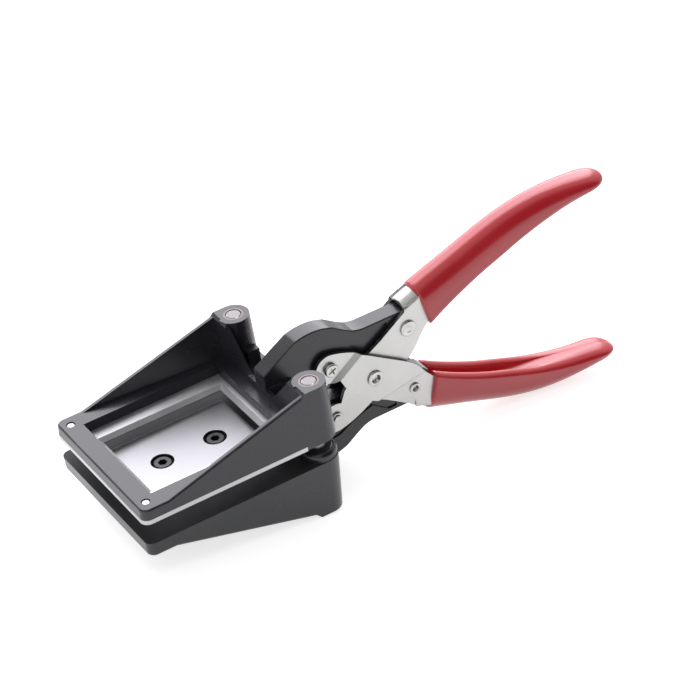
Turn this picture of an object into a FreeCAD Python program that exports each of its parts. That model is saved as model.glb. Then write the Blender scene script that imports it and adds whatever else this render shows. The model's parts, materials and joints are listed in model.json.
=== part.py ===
import FreeCAD, Part
import os, math

os.makedirs("parts", exist_ok=True)
V = FreeCAD.Vector

# Working frame: x across the head, y from the head's front edge back to the grips,
# z along the cutting stroke with zero midway between the two heads.

# The cut picture and the fits
cut_width = 35.0
cut_length = 47.0
punch_gap = 0.1
slide_gap = 0.03
hinge_gap = 0.05
loose_gap = 0.15
stroke = 4.6

# Head castings
head_half = 32.5
plate_top = 10.0
boss_top = 26.8
corner_r = 3.0
boss_r_low = 6.9
boss_x = head_half - boss_r_low
boss_y = 71.2
boss_r_high = 5.8
upper_base = 4.5
lower_rim = 4.0
draft = (boss_r_low - boss_r_high) / (boss_top - upper_base)
web_front = 65.2
web_back = 66.9
web_foot_z = 12.4
web_foot_x = 8.5
cheek_start = 10.5
cheek_end_z = 25.8
cheek_wall = 1.7
window_half = head_half - 8.0
window_front = 7.6
window_back = 61.2
shelf_z = 9.0
lug_z = 15.0

# Die plate, punch and their fasteners
die_under = lower_rim
die_thick = 2.0
die_end = 64.0
die_land = 0.4
die_relief = 1.5
cut_mid_y = 34.5
punch_face = 0.4
punch_deep = 7.0
pin_x = head_half - 5.2
pin_y = 4.06
pin_d = 3.0
rear_screw_x = head_half - 3.9
rear_screw_y = 58.5
rear_screw_d = 3.0
rear_head_d = 5.5
punch_screw_pitch = 21.0
m4_d = 4.0
m4_head_d = 7.0
m4_head_h = 4.0
m4_length = 8.0
m4_hex = 3.0
m4_sink_d = 8.3

# Guide pins and bushes
guide_d = 5.6
bush_wall = 1.0
hub_rise = 3.6

# Pivots of the crossing handles
cross_y = 106.8
pivot_dy = 16.4
front_z = 10.7
rear_z = 13.2
front_y = cross_y - pivot_dy
rear_y = cross_y + pivot_dy
front_pin_d = 3.2
screw_d = 3.0
main_d = 4.6
upper_slot_d = 5.0
lower_slot_d = 3.2
ear_r = 5.8

# Arms
arm_half = 3.6
pocket_deep = 0.6
arm_end = 130.6

# Return spring
spring_y = 71.5
spring_seat = 11.0
spring_bore_d = 7.6
spring_wire = 1.1
spring_mean_d = 5.4
spring_coils = 7

# Handle channels and grips
sheet = 1.5
channel_in = arm_half + 0.15
channel_out = channel_in + sheet
raised_in = channel_out + 0.15
web_start = 123.0
coat = 1.5
grip_half = channel_out + coat
bend_r = 2.4
grip_end = 212.2
tip_cover = 4.2
steel_end = grip_end - tip_cover
grip_round = 4.8
back_line = [(118.0, 22.4), (124.0, 24.9), (130.0, 27.2), (137.0, 29.6), (145.6, 32.5), (154.4, 35.6),
             (163.2, 38.5), (172.0, 40.7), (181.0, 42.0), (190.0, 42.4), (199.0, 42.0), (207.0, 40.9),
             (218.0, 38.4)]
open_line = [(125.5, 4.6), (132.3, 10.6), (138.0, 14.0), (145.0, 17.6), (154.0, 21.7), (163.0, 25.1),
             (176.4, 29.9), (190.0, 32.9), (203.3, 34.6), (218.0, 35.0)]
stretch_from = 150.0
stretch = (grip_end - stretch_from) / 62.2
back_line, open_line = [[(y if y < stretch_from else stretch_from + (y - stretch_from) * stretch, z)
                         for y, z in line] for line in (back_line, open_line)]
plate_top_line = [(122.4, 20.2), (111.5, 12.9), (104.3, 8.8), (94.9, -1.1)]
plate_low_line = [(97.9, -14.4), (105.8, -10.2), (111.6, -6.4), (117.5, -2.6)]


# Small shape helpers

def profile(x, first, steps):
    """Closed wire in the plane at x from points, ("arc", mid, end) and ("curve", points)."""
    at = lambda p: V(x, p[0], p[1])
    edges = []
    here = first
    for step in steps:
        if step[0] == "arc":
            edges.append(Part.Arc(at(here), at(step[1]), at(step[2])).toShape())
            here = step[2]
        elif step[0] == "curve":
            curve = Part.BSplineCurve()
            curve.interpolate([at(here)] + [at(p) for p in step[1]])
            edges.append(curve.toShape())
            here = step[1][-1]
        else:
            edges.append(Part.makeLine(at(here), at(step)))
            here = step
    if math.dist(here, first) > 1e-6:
        edges.append(Part.makeLine(at(here), at(first)))
    return Part.Wire(edges)


def across(x0, x1, first, steps):
    """Solid with a side outline, from x0 to x1."""
    return Part.Face(profile(x0, first, steps)).extrude(V(x1 - x0, 0, 0))


def rod(d, y, z, x0, x1):
    """Round bar along x."""
    return Part.makeCylinder(d / 2, x1 - x0, V(x0, y, z), V(1, 0, 0))


def post(d, x, y, z0, z1):
    """Round bar along z."""
    return Part.makeCylinder(d / 2, z1 - z0, V(x, y, z0), V(0, 0, 1))


def block(x0, x1, y0, y1, z0, z1):
    return Part.makeBox(x1 - x0, y1 - y0, z1 - z0, V(x0, y0, z0))


def both_sides(shape):
    return [shape, shape.mirror(V(0, 0, 0), V(1, 0, 0))]


def flipped(shape):
    return shape.mirror(V(0, 0, 0), V(0, 0, 1))


def hexagon(flats, x, y, z0, z1):
    """Upright hexagonal bar."""
    r = flats / math.sqrt(3)
    pts = [V(x + r * math.cos(math.radians(60 * i)), y + r * math.sin(math.radians(60 * i)), z0)
           for i in range(7)]
    return Part.Face(Part.makePolygon(pts)).extrude(V(0, 0, z1 - z0))


def moved_in(points, distance):
    """The same row of points moved sideways, to the right of its own direction."""
    out = []
    for i, p in enumerate(points):
        a = points[max(i - 1, 0)]
        b = points[min(i + 1, len(points) - 1)]
        run = math.dist(a, b)
        out.append((p[0] + distance * (b[1] - a[1]) / run, p[1] - distance * (b[0] - a[0]) / run))
    return out


def height_at(points, y):
    """Height of a row of points at y; its end runs carry on beyond it."""
    at = max(1, sum(p[0] < y for p in points[:-1]))
    a, b = points[at - 1], points[at]
    return a[1] + (b[1] - a[1]) * (y - a[0]) / (b[0] - a[0])


def back_edges(shape):
    """The two long outer edges along the back of a handle or grip."""
    top = max(e.BoundBox.ZMax for e in shape.Edges)
    return [e for e in shape.Edges if e.BoundBox.YLength > 60 and e.BoundBox.ZMax > top - 1.0
            and e.BoundBox.XLength < 0.01]


# Head castings, both drawn as the upper one

def head_ring(z, grow):
    """Outline of the head at a height: square front corners, bosses round at the back."""
    half = head_half - grow
    front = grow
    rear_r = boss_r_low - grow
    r = corner_r
    k = math.sqrt(0.5)
    a = lambda *p: V(p[0], p[1], z)
    edges = [
        Part.makeLine(a(-half + r, front), a(half - r, front)),
        Part.Arc(a(half - r, front), a(half - r + r * k, front + r - r * k), a(half, front + r)).toShape(),
        Part.makeLine(a(half, front + r), a(half, boss_y)),
        Part.Arc(a(half, boss_y), a(boss_x + rear_r * k, boss_y + rear_r * k),
                 a(boss_x, boss_y + rear_r)).toShape(),
        Part.makeLine(a(boss_x, boss_y + rear_r), a(-boss_x, boss_y + rear_r)),
        Part.Arc(a(-boss_x, boss_y + rear_r), a(-boss_x - rear_r * k, boss_y + rear_r * k),
                 a(-half, boss_y)).toShape(),
        Part.makeLine(a(-half, boss_y), a(-half, front + r)),
        Part.Arc(a(-half, front + r), a(-half + r - r * k, front + r - r * k),
                 a(-half + r, front)).toShape(),
    ]
    return Part.Wire(edges)


def head_blank(base, edge_round):
    """Drafted block of the head, cut to the sloping line of its cheeks."""
    rise = boss_top - base
    lower = head_ring(base, 0.0)
    upper = head_ring(boss_top, draft * rise)
    blank = Part.makeLoft([lower, upper], True, True)
    above = across(-40, 40, (-5, plate_top), [(cheek_start, plate_top), (web_front, cheek_end_z),
                                              (web_front + 1.0, boss_top), (web_front + 1.0, 40), (-5, 40)])
    blank = blank.cut(above)
    rims = [e for e in blank.Edges if abs(e.BoundBox.ZMin - plate_top) < 0.01
            and e.BoundBox.YMax < 64 and e.BoundBox.ZMax < plate_top + 0.01
            and (e.BoundBox.YMax < corner_r + 1 or e.BoundBox.YLength > 1) and e.BoundBox.YMax < cheek_start + 0.1
            and not (e.BoundBox.XLength > 50 and e.BoundBox.YMin > 5)]
    rims += [e for e in blank.Edges if e.BoundBox.YLength > 50 and e.BoundBox.ZMax > cheek_end_z - 0.1
             and e.BoundBox.ZMin > plate_top - 0.1 and e.BoundBox.ZMax < boss_top - 0.5]
    return blank.makeFillet(edge_round, rims)


def cheek_space(floor):
    """Space between the two cheeks above the plate; its walls lean outwards."""
    depth = web_front - cheek_start
    slope = (cheek_end_z - plate_top) / depth
    lean = 0.185
    foot = (lean + draft) * slope * depth
    top = 18.0

    def section(y, inset):
        x0 = head_half - cheek_wall - draft * 5 - inset
        return Part.makePolygon([V(-x0, y, floor), V(x0, y, floor), V(x0 + lean * top, y, floor + top),
                                 V(-x0 - lean * top, y, floor + top), V(-x0, y, floor)])
    return Part.makeLoft([section(cheek_start - 1.5, 0.0), section(web_front, foot)], True, True)


def cross_web(base):
    """Thin wall across the head that falls from each boss to the foot of the arm."""
    inner = boss_x - 3.5
    pts = [(-head_half, base), (head_half, base), (head_half, boss_top), (inner, boss_top),
           (web_foot_x, web_foot_z), (-web_foot_x, web_foot_z), (-inner, boss_top), (-head_half, boss_top)]
    wire = Part.makePolygon([V(x, web_front, z) for x, z in pts + pts[:1]])
    return Part.Face(wire).extrude(V(0, web_back - web_front, 0))


def boss(base, side):
    """Inner half of a boss for a guide pin, with its front cut flush with the cross web."""
    r0 = boss_r_low
    r1 = boss_r_low - draft * (boss_top - base)
    cone = Part.makeCone(r0, r1, boss_top - base, V(side * boss_x, boss_y, base), V(0, 0, 1))
    return cone.common(block(-boss_x, boss_x, web_front, 90, 0, 40))


def arm():
    """Cast arm running back from the head, with a shallow side pocket for the handle plates."""
    line = [(72.5, 22.9), (78.6, 26.5), ("arc", (84.6, 27.7), (90.6, 27.2)), (94.2, 26.0), (99.1, 22.7),
            (101.8, 21.1), ("arc", (105.0, 20.2), (108.0, 20.0)), (arm_end - 3.0, 20.0),
            ("arc", (arm_end - 0.9, 19.1), (arm_end, 17.0)), (arm_end, 9.5), (arm_end - 2.0, 7.6),
            (119.0, 6.8), (103.8, 6.4), (100.0, 3.8), (90.0, 3.8), (84.0, upper_base), (web_front + 0.2, upper_base)]
    body = across(-arm_half, arm_half, (web_front + 0.2, 18.6), line)
    tops = [e for e in body.Edges if e.BoundBox.XLength < 0.01 and e.BoundBox.ZMin > 18.0
            and e.BoundBox.YLength > 0.5]
    body = body.makeFillet(0.5, tops)
    reach = 9.6
    swing = [(80.2, 0.0), (80.2, 17.0), (front_y - reach * math.cos(0.65), front_z + reach * math.sin(0.65)),
             ("arc", (front_y - reach * math.cos(1.35), front_z + reach * math.sin(1.35)), (94.4, 18.4)),
             ("arc", (100.3, 15.7), (106.3, 13.8)), (112.6, 18.4), (140.0, 18.4), (140.0, 0.0)]
    for x0, x1 in ((arm_half - pocket_deep, 6.0), (-6.0, -arm_half + pocket_deep)):
        hollow = across(x0, x1, swing[0], swing[1:])
        hollow = hollow.cut(rod(10.0, front_y, front_z, -9, 9))
        hollow = hollow.cut(across(-9, 9, (116.0, 0.0), [(116.0, 19.0), (140.0, 19.0), (140.0, 0.0)]))
        body = body.cut(hollow)
    return body


def head_casting(base, edge_round):
    """One head with its bosses, web, arm and spring seat, before the upper or lower details."""
    body = head_blank(base, edge_round)
    body = body.cut(cheek_space(plate_top))
    body = body.cut(block(-boss_x, boss_x, web_front, 90, shelf_z, 40))
    extras = [cross_web(base).common(head_blank(base, edge_round)), boss(base, 1), boss(base, -1), arm(),
              post(11.2, 0, spring_y, base, spring_seat + 2.5)]
    for lug in both_sides(block(17.0, boss_x, 70.4, 75.2, base, lug_z)):
        extras.append(lug)
    body = body.fuse(extras).removeSplitter()
    body = body.cut(post(spring_bore_d, 0, spring_y, 0, spring_seat))
    return body


def arm_holes(body, front_bore, slot_pin, slot_gap):
    """Front pivot bore and the rear slot in which the handle pin slides."""
    body = body.cut(rod(front_bore, front_y, front_z, -9, 9))
    r = slot_pin / 2 + slot_gap
    travel = 3.1
    slot = across(-9, 9, (rear_y - slot_gap, rear_z - r),
                  [(rear_y + travel, rear_z - r), ("arc", (rear_y + travel + r, rear_z), (rear_y + travel, rear_z + r)),
                   (rear_y - slot_gap, rear_z + r),
                   ("arc", (rear_y - slot_gap - r, rear_z), (rear_y - slot_gap, rear_z - r))])
    return body.cut(slot)


def upper_frame():
    body = head_casting(upper_base, 0.8)
    body = body.cut(block(-40, 40, -5, die_end + 0.2, 0, die_under + die_thick))
    window = block(-window_half, window_half, window_front, window_back, 0, plate_top + 0.01)
    body = body.cut(window)
    for hole in both_sides(post(pin_d + 0.2, pin_x, pin_y, 0, 20)):
        body = body.cut(hole)
    for hole in both_sides(post(rear_screw_d, rear_screw_x, rear_screw_y, 0, plate_top - 0.4)):
        body = body.cut(hole)
    for hole in both_sides(post(guide_d + 2 * bush_wall, boss_x, boss_y, 0, 40)):
        body = body.cut(hole)
    return arm_holes(body, screw_d + 2 * loose_gap, upper_slot_d, loose_gap)


def lower_frame():
    body = head_casting(lower_rim, 1.6)
    seat = block(-cut_width / 2, cut_width / 2, cut_mid_y - cut_length / 2, cut_mid_y + cut_length / 2,
                 0, punch_deep - punch_face)
    body = body.cut(seat)
    for y in (cut_mid_y - punch_screw_pitch / 2, cut_mid_y + punch_screw_pitch / 2):
        body = body.fuse(post(10.0, 0, y, plate_top - 0.5, plate_top + 3.5))
        body = body.cut(post(m4_d, 0, y, 0, plate_top + 2.2))
    for side in (1, -1):
        hub = Part.makeCone(boss_r_low - 0.3, boss_r_low - 0.5, hub_rise + 0.5,
                            V(side * boss_x, boss_y, lower_rim + 0.5), V(0, 0, -1))
        top = [e for e in hub.Edges if abs(e.BoundBox.ZMax - (lower_rim - hub_rise)) < 0.01]
        body = body.fuse(hub.makeFillet(2.4, top))
        body = body.cut(post(guide_d, side * boss_x, boss_y, -5, 40))
    body = body.removeSplitter()
    return flipped(arm_holes(body, front_pin_d, lower_slot_d, loose_gap))


# Die, punch and the pieces that hold and guide them

def cut_ring(z, grow):
    """Outline of the cut picture at a height, made larger all round."""
    x = cut_width / 2 + grow
    y = cut_length / 2 + grow
    return Part.makePolygon([V(-x, cut_mid_y - y, z), V(x, cut_mid_y - y, z), V(x, cut_mid_y + y, z),
                             V(-x, cut_mid_y + y, z), V(-x, cut_mid_y - y, z)])


def die_window():
    """Opening of the die: a short straight cutting land, then walls that lean outwards."""
    land_top = die_under + die_land
    land = Part.Face(cut_ring(0, 0)).extrude(V(0, 0, land_top))
    flare = Part.makeLoft([cut_ring(land_top, 0), cut_ring(die_under + die_thick, die_relief)], True, True)
    return land.fuse(flare)


def die_plate():
    body = Part.Face(head_ring(die_under, 0.0)).extrude(V(0, 0, die_thick))
    body = body.cut(block(-40, 40, die_end, 90, 0, 20))
    body = body.cut(die_window())
    rim = [e for e in body.Edges if abs(e.BoundBox.ZMax - die_under) < 0.01
           and (e.BoundBox.XMax > 25 or e.BoundBox.XMin < -25 or e.BoundBox.YMax < 1)]
    body = body.makeChamfer(0.3, rim)
    for side in (1, -1):
        body = body.cut(post(pin_d, side * pin_x, pin_y, 0, 20))
        body = body.cut(post(rear_screw_d + 0.2, side * rear_screw_x, rear_screw_y, 0, 20))
        body = body.cut(Part.makeCone(rear_head_d / 2 + 0.05, rear_screw_d / 2 + 0.05, 1.25,
                                      V(side * rear_screw_x, rear_screw_y, die_under), V(0, 0, 1)))
    return body


def die_pins():
    one = post(pin_d, pin_x, pin_y, die_under, plate_top - 0.3)
    top = [e for e in one.Edges if e.BoundBox.ZMin > plate_top - 0.4]
    return Part.Compound(both_sides(one.makeChamfer(0.25, top)))


def die_screws():
    one = Part.makeCone(rear_head_d / 2, rear_screw_d / 2, 1.25, V(rear_screw_x, rear_screw_y, die_under), V(0, 0, 1))
    one = one.fuse(post(rear_screw_d, rear_screw_x, rear_screw_y, die_under, plate_top - 0.6)).removeSplitter()
    for turn in (0, 90):
        bar = block(-1.4, 1.4, -0.25, 0.25, die_under - 1, die_under + 0.9)
        bar.rotate(V(0, 0, 0), V(0, 0, 1), turn + 20)
        bar.translate(V(rear_screw_x, rear_screw_y, 0))
        one = one.cut(bar)
    return Part.Compound(both_sides(one))


def punch_block():
    half = cut_width / 2 - punch_gap
    y0 = cut_mid_y - cut_length / 2 + punch_gap
    y1 = cut_mid_y + cut_length / 2 - punch_gap
    body = block(-half, half, y0, y1, punch_face - punch_deep, punch_face)
    for y in (cut_mid_y - punch_screw_pitch / 2, cut_mid_y + punch_screw_pitch / 2):
        body = body.cut(post(m4_d + 0.4, 0, y, -20, 5))
        body = body.cut(post(m4_sink_d, 0, y, punch_face - m4_head_h - 0.4, 5))
    return body


def punch_screws():
    out = []
    for y in (cut_mid_y - punch_screw_pitch / 2, cut_mid_y + punch_screw_pitch / 2):
        head = post(m4_head_d, 0, y, -m4_head_h, 0)
        head = head.makeChamfer(0.35, [e for e in head.Edges if e.BoundBox.ZMin > -0.01])
        head = head.cut(hexagon(m4_hex, 0, y, -2.2, 1))
        out.append(head.fuse(post(m4_d, 0, y, -m4_head_h - m4_length, -m4_head_h + 0.5)).removeSplitter())
    return Part.Compound(out)


def guide_pin(side):
    pin = post(guide_d, side * boss_x, boss_y, -boss_top, boss_top)
    return pin.makeChamfer(0.35, [e for e in pin.Edges if abs(abs(e.BoundBox.ZMin) - boss_top) < 0.01
                                  and e.BoundBox.ZLength < 0.01])


def guide_bush(side):
    bush = post(guide_d + 2 * bush_wall, side * boss_x, boss_y, upper_base, boss_top)
    return bush.cut(post(guide_d + 2 * slide_gap, side * boss_x, boss_y, 0, 40))


# Handles, both drawn as the upper one

def back_curve(depth):
    return moved_in(back_line, depth)


def open_curve(depth):
    return moved_in(open_line, -depth)


def handle_outline(x0, x1):
    """Side shape of a handle: ear at the front pivot, broad plate, long curved bar."""
    back = back_curve(coat)
    mouth = open_curve(coat)
    spine = [p for p in back if web_start + 1 < p[0] < steel_end - 2]
    start = (web_start, height_at(back, web_start))
    low = [p for p in mouth[1:] if p[0] < steel_end - 3]
    py, pz = front_y, -front_z
    return across(x0, x1, start, plate_top_line + [
        (py + 2.6, pz + ear_r * 0.908),
        ("arc", (py - ear_r * 0.8, pz + ear_r * 0.6), (py - ear_r * 0.6, pz - ear_r * 0.8)),
        ("arc", (py - ear_r * 0.18, pz - ear_r * 0.984), (py + ear_r * 0.25, pz - ear_r * 0.968)),
        ("curve", plate_low_line + [(124.2, 2.6)] + low + [(steel_end, height_at(mouth, steel_end))]),
        (steel_end, height_at(back, steel_end)), ("curve", spine[::-1] + [start])])


def channel():
    """Bent sheet channel of a handle, open towards the other handle."""
    outer = handle_outline(-channel_out, channel_out)
    outer = outer.makeFillet(bend_r, back_edges(outer))
    roof = [p for p in back_curve(coat + sheet)]
    hollow = across(-channel_in, channel_in, (60, -60), [
        (240, -60), roof[-1], ("curve", roof[:-1][::-1]), (roof[0][0], 90), (60, 90)])
    front = block(-channel_in, channel_in, 60, web_start, -60, 90)
    return outer.cut(hollow).cut(front)


def bent_sheet(y0, z0, y1, z1, side):
    """Endless sheet that steps outwards along the line from one point to another."""
    run = math.hypot(y1 - y0, z1 - z0)
    t = V(0, (y1 - y0) / run, (z1 - z0) / run)
    s = V(0, -t.z, t.y).multiply(side)
    a = V(0, y0, z0)
    step = 1.7
    pts = [(-80, channel_in), (0, channel_in), (step, raised_in), (80, raised_in),
           (80, raised_in + sheet), (step, raised_in + sheet), (0, channel_out), (-80, channel_out)]
    ring = [a + s * d + V(x, 0, 0) + t * -90 for d, x in pts + pts[:1]]
    return Part.Face(Part.makePolygon(ring)).extrude(t * 180)


def lower_handle_blank():
    """Channel whose plates step outwards where they cross the other handle."""
    whole = channel()
    keep = across(-20, 20, (web_start, 13.2), [(131.6, 12.1), (131.6, -10), (240, -10), (240, 60), (web_start, 60)])
    rear = whole.common(keep)
    side = handle_outline(0.5, 12)
    first = side.common(bent_sheet(90.3, -5.4, 100.3, -12.4, 1)).common(block(0, 20, 60, cross_y, -60, 60))
    second = side.common(bent_sheet(110.0, 11.5, 130.0, 8.0, -1)).common(block(0, 20, cross_y, 240, -60, 60))
    plate = first.fuse(second).cut(keep)
    far = plate.mirror(V(0, 0, 0), V(1, 0, 0))
    return rear.fuse([plate, far]).removeSplitter()


def upper_handle():
    body = channel()
    body = body.cut(rod(front_pin_d + 2 * hinge_gap, front_y, -front_z, -20, 20))
    body = body.cut(rod(main_d, cross_y, 0, -20, 20))
    return body.cut(rod(upper_slot_d, rear_y, rear_z, -20, 20))


def lower_handle():
    body = lower_handle_blank()
    body = body.cut(rod(screw_d, front_y, -front_z, -20, 20))
    body = body.cut(rod(main_d + 2 * hinge_gap, cross_y, 0, -20, 20))
    body = body.cut(rod(lower_slot_d, rear_y, rear_z, -20, 20))
    return flipped(body)


def grip():
    """Dipped sleeve over the channel, closed and rounded at its end."""
    top = [p for p in back_line if p[0] > 125]
    low = [p for p in open_line if p[0] > 130]
    outer = across(-grip_half, grip_half, (128.3, 24.5), [
        ("curve", top), low[-1], ("curve", low[::-1][1:])])
    outer = outer.makeFillet(grip_round, back_edges(outer))
    nose = across(-20, 20, (100, 0), [(grip_end - 12.0, 0), (grip_end - 12.0, 34.2),
                                      ("arc", (grip_end - 5.0, 35.2), (grip_end, 38.6)),
                                      ("arc", (grip_end - 2.0, 40.7), (grip_end - 6.0, 42.4)), (100, 60)])
    plan = block(-grip_half, grip_half, 100, grip_end, 0, 60)
    ends = [e for e in plan.Edges if e.BoundBox.ZLength > 50 and e.BoundBox.YMin > grip_end - 1]
    outer = outer.common(nose).common(plan.makeFillet(5.6, ends))
    inner_half = channel_in - coat
    roof = back_curve(2 * coat + sheet)
    hollow = across(-inner_half, inner_half, (100, -20), [
        (grip_end + 27.8, -20), roof[-1], ("curve", roof[:-1][::-1]), (100, roof[0][1])])
    hollow = hollow.common(block(-20, 20, 90, grip_end - 3, -30, 60))
    ends = [e for e in hollow.Edges if e.BoundBox.ZLength > 5 and e.BoundBox.YMin > grip_end - 4]
    hollow = hollow.makeFillet(2.0, ends)
    mouth = block(-channel_in, channel_in, 100, 136.0, -20, 60).cut(
        across(-20, 20, (90, 90), [(90, back_curve(coat)[0][1])] + [("curve", back_curve(coat)[:-1])] + [(grip_end + 9.8, 90)]))
    return outer.cut(hollow).cut(mouth).cut(handle_outline_bar())


def handle_outline_bar():
    """The steel inside a grip."""
    return channel().common(block(-20, 20, 126, 240, -60, 90))


# Pivot pins, rivets and the screw with its nut

def rivet(d, y, z, near, head_d, head_h):
    """Pin through both plates with a low flat head on each side."""
    body = rod(d, y, z, -near, near)
    for x, out in ((near, 1), (-near, -1)):
        head = Part.makeCylinder(head_d / 2, head_h, V(x, y, z), V(out, 0, 0))
        rim = [e for e in head.Edges if abs(abs(e.BoundBox.XMin) - near - head_h) < 0.01]
        head = head.makeFillet(head_h * 0.45, rim)
        head = head.cut(Part.makeCone(0.0, head_d * 0.2, head_h * 0.5, V(x + out * head_h * 0.5, y, z), V(out, 0, 0)))
        body = body.fuse(head)
    return body.removeSplitter()


def pivot_screw():
    """Cross-recessed pan head screw through the lower handle and the upper arm."""
    x = channel_out
    head = Part.makeCylinder(2.7, 1.5, V(x, front_y, front_z), V(1, 0, 0))
    head = head.makeFillet(0.7, [e for e in head.Edges if e.BoundBox.XMin > x + 1.4])
    for turn in (0, 90):
        bar = Part.makeBox(1.4, 3.2, 0.62, V(x + 0.4, front_y - 1.6, front_z - 0.31))
        bar.rotate(V(x, front_y, front_z), V(1, 0, 0), turn + 25)
        head = head.cut(bar)
    return head.fuse(rod(screw_d, front_y, front_z, -channel_out - 3.2, x + 0.2)).removeSplitter()


def pivot_nut():
    nut = hexagon(5.5, 0, 0, 0, 2.4)
    nut = nut.cut(Part.makeCylinder(screw_d / 2, 5, V(0, 0, -1)))
    nut.rotate(V(0, 0, 0), V(0, 1, 0), -90)
    nut.translate(V(-channel_out, front_y, front_z))
    return nut


def front_rivet():
    washer = 0.8
    body = rod(front_pin_d, front_y, -front_z, -channel_out - washer, channel_out + washer)
    for x, out in ((channel_out + washer, 1), (-channel_out - washer, -1)):
        tip = Part.makeCylinder(front_pin_d / 2, 0.7, V(x - out * 0.1, front_y, -front_z), V(out, 0, 0))
        rim = [e for e in tip.Edges if abs(e.BoundBox.XMin) > channel_out + washer + 0.5]
        body = body.fuse(tip.makeFillet(0.25, rim))
    return body.removeSplitter()


def rivet_washers():
    out = []
    for x, way in ((channel_out + 0.05, 1), (-channel_out - 0.05, -1)):
        ring = Part.makeCylinder(2.5, 0.75, V(x, front_y, -front_z), V(way, 0, 0))
        ring = ring.makeChamfer(0.2, [e for e in ring.Edges if abs(e.BoundBox.XMin) > channel_out + 0.7])
        out.append(ring.cut(rod(front_pin_d, front_y, -front_z, -20, 20)))
    return Part.Compound(out)


def return_spring():
    """Coil spring standing in the seats of the two castings."""
    tall = 2 * spring_seat - spring_wire
    helix = Part.makeHelix(tall / spring_coils, tall, spring_mean_d / 2)
    start = V(spring_mean_d / 2, 0, 0)
    ring = Part.Wire(Part.makeCircle(spring_wire / 2, start, V(0, 1, 0)))
    coil = Part.Wire(helix).makePipeShell([ring], True, True)
    coil.translate(V(0, spring_y, -tall / 2))
    return coil


# Every piece of the cutter

def build():
    sleeve = grip()
    return {
        "upper_frame": upper_frame(),
        "lower_frame": lower_frame(),
        "die_plate": die_plate(),
        "die_pins": die_pins(),
        "die_screws": die_screws(),
        "punch_block": punch_block(),
        "punch_screws": punch_screws(),
        "guide_pin_right": guide_pin(1),
        "guide_pin_left": guide_pin(-1),
        "guide_bush_right": guide_bush(1),
        "guide_bush_left": guide_bush(-1),
        "upper_handle": upper_handle(),
        "lower_handle": lower_handle(),
        "upper_grip": sleeve,
        "lower_grip": flipped(sleeve),
        "main_rivet": rivet(main_d, cross_y, 0, raised_in + sheet + 0.05, 6.2, 0.8),
        "upper_slot_rivet": rivet(upper_slot_d, rear_y, rear_z, channel_out, 6.4, 0.8),
        "lower_slot_rivet": rivet(lower_slot_d, rear_y, -rear_z, channel_out, 4.4, 0.7),
        "pivot_screw": pivot_screw(),
        "pivot_nut": pivot_nut(),
        "front_rivet": front_rivet(),
        "rivet_washers": rivet_washers(),
        "return_spring": return_spring(),
    }


def rest_angle(front, rear):
    """Tilt at which the front casting and the rear grip touch the table together."""
    clouds = [[(p.y, p.z) for p in shape.tessellate(0.02)[0]] for shape in (front, rear)]
    low, high = 0.0, 30.0
    for _ in range(40):
        middle = math.radians((low + high) / 2)
        front_low, rear_low = [min(y * math.sin(middle) + z * math.cos(middle) for y, z in cloud)
                               for cloud in clouds]
        if rear_low < front_low:
            low = math.degrees(middle)
        else:
            high = math.degrees(middle)
    return (low + high) / 2


def set_down(pieces):
    """Tilt the cutter on to its two feet and put the origin under the middle of its box."""
    rest_tilt = rest_angle(pieces["lower_frame"], pieces["lower_grip"])
    for shape in pieces.values():
        shape.rotate(V(0, 0, 0), V(1, 0, 0), rest_tilt)
    boxes = [shape.optimalBoundingBox(False) for shape in pieces.values()]
    dy = -(min(b.YMin for b in boxes) + max(b.YMax for b in boxes)) / 2
    dz = -min(b.ZMin for b in boxes)
    for shape in pieces.values():
        shape.translate(V(0, dy, dz))
    return rest_tilt, dy, dz


pieces = build()
shift = set_down(pieces)
for name, shape in pieces.items():
    shape.exportStep("parts/%s.step" % name)
    box = shape.optimalBoundingBox(False)
    print("%-18s valid %s solids %d  x %.2f %.2f  y %.2f %.2f  z %.2f %.2f  volume %.0f" % (
        name, shape.isValid(), len(shape.Solids), box.XMin, box.XMax, box.YMin, box.YMax,
        box.ZMin, box.ZMax, sum(s.Volume for s in shape.Solids)))
print("tilt %.6f shift y %.6f z %.6f" % shift)
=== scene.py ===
# %% [markdown]
# # A hand-held photo die cutter
# The real object is a plier-type cutter. Two black castings slide on two guide pins, a punch in the lower
# one passes through a steel die under the upper one, and two crossing handles in red dipped sleeves
# squeeze them. The sizes come from the CAD frame. This script dresses that frame: it gives each piece its
# finish, and it models again what the CAD solids only sketch, such as the soft sleeves.

import json
import math

import bmesh
import bpy
from mathutils import Matrix, Vector

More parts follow.
